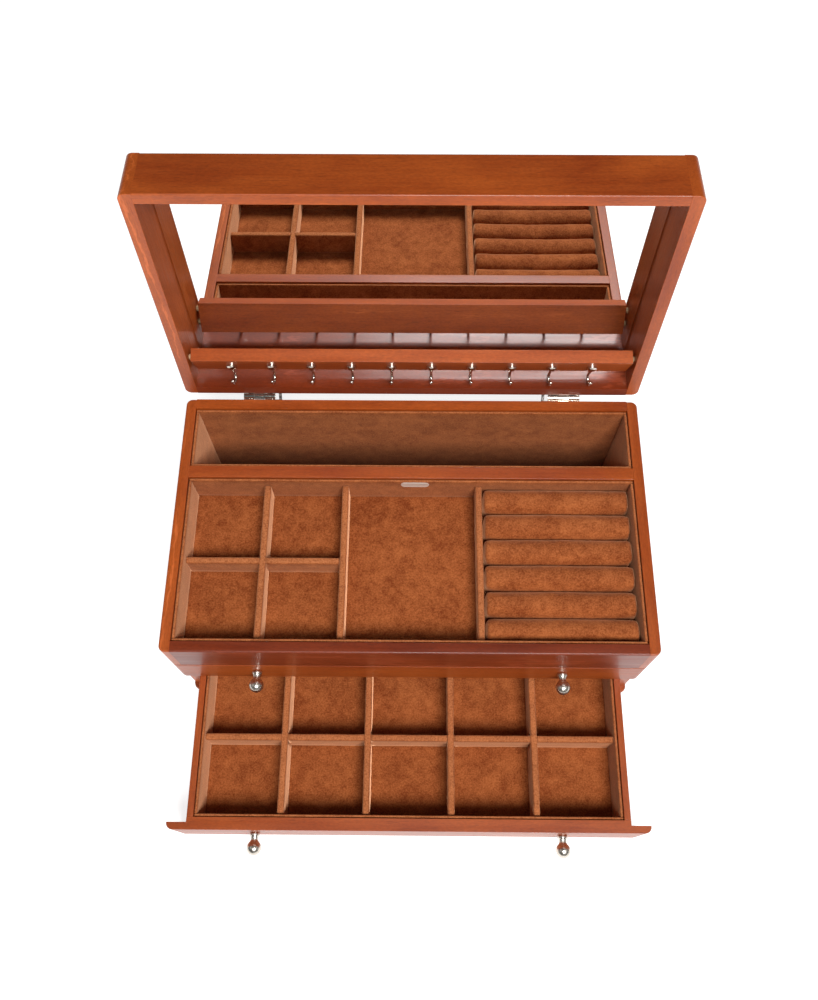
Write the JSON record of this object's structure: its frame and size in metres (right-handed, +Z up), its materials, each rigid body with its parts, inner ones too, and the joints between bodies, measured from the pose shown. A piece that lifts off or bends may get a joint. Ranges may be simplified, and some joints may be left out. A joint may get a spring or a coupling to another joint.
{
  "type": "jewelry box",
  "caption": "Wooden jewelry box with a hinged mirror lid and necklace hooks, a suede-lined tray with ring rolls, a deep rear well and two lined drawers.",
  "frame": {"origin": "centre of the flat underside of the case", "axes": "+Z up, -Y towards the drawer fronts, +X to the right as seen from the front"},
  "size_m": [0.33, 0.3647, 0.311],
  "materials": {
    "wood": "reddish brown stain under satin lacquer",
    "wood_inner": "thin stained board",
    "suede": "short tan suede pile",
    "felt": "dark felt",
    "mirror_glass": "silvered glass",
    "satin_nickel": "satin nickel plate",
    "steel": "plain steel",
    "dowel_wood": "plain beech dowel"
  },
  "bodies": {
    "case": {"left_side": "wood", "right_side": "wood", "back_panel": "wood", "front_apron": "wood", "well_partition": "wood", "base_board": "wood_inner", "drawer_shelf": "wood_inner", "tray_board": "wood_inner", "upper_guides": "wood_inner", "lower_guides": "wood_inner", "well_lining": "suede", "well_floor_pad": "suede", "tray_lining": "suede", "tray_floor_pad": "suede", "tray_small_divider": "suede", "tray_long_dividers": "suede", "tray_cross_divider": "suede", "ring_roll_1": "suede", "ring_roll_2": "suede", "ring_roll_3": "suede", "ring_roll_4": "suede", "ring_roll_5": "suede", "ring_roll_6": "suede", "felt_base": "felt", "name_plate": "satin_nickel", "case_hinge_leaves": "satin_nickel", "hinge_pins": "steel", "case_hinge_screws": "steel"},
    "lid": {"lid_top_panel": "wood", "lid_front_rail": "wood", "lid_back_rail": "wood", "lid_left_rail": "wood", "lid_right_rail": "wood", "hook_bar": "wood", "lid_mirror": "mirror_glass", "lid_hinge_leaves": "satin_nickel", "necklace_hooks": "satin_nickel", "lid_hinge_screws": "steel", "hook_bar_dowels": "dowel_wood"},
    "upper_drawer": {"upper_drawer_front": "wood", "upper_drawer_sides": "wood", "upper_drawer_back": "wood", "upper_drawer_bottom": "wood_inner", "upper_drawer_lining": "suede", "upper_drawer_pad": "suede", "upper_drawer_dividers": "suede", "upper_knobs": "satin_nickel", "upper_knob_screws": "steel"},
    "lower_drawer": {"lower_drawer_front": "wood", "lower_drawer_sides": "wood", "lower_drawer_back": "wood", "lower_drawer_bottom": "wood_inner", "lower_drawer_lining": "suede", "lower_drawer_pad": "suede", "lower_long_dividers": "suede", "lower_cross_divider": "suede", "lower_knobs": "satin_nickel", "lower_knob_screws": "steel"}
  },
  "joints": [
    {"name": "lid_hinge", "type": "hinge", "parent": "case", "child": "lid", "pos_m": [0, 0.0975, 0.12], "axis": [1, 0, 0], "range_deg": [0, 95.6]},
    {"name": "upper_drawer_slide", "type": "slide", "parent": "case", "child": "upper_drawer", "axis": [0, -1, 0], "range_m": [0, 0.11]},
    {"name": "lower_drawer_slide", "type": "slide", "parent": "case", "child": "lower_drawer", "axis": [0, -1, 0], "range_m": [-0.105, 0.005]}
  ]
}
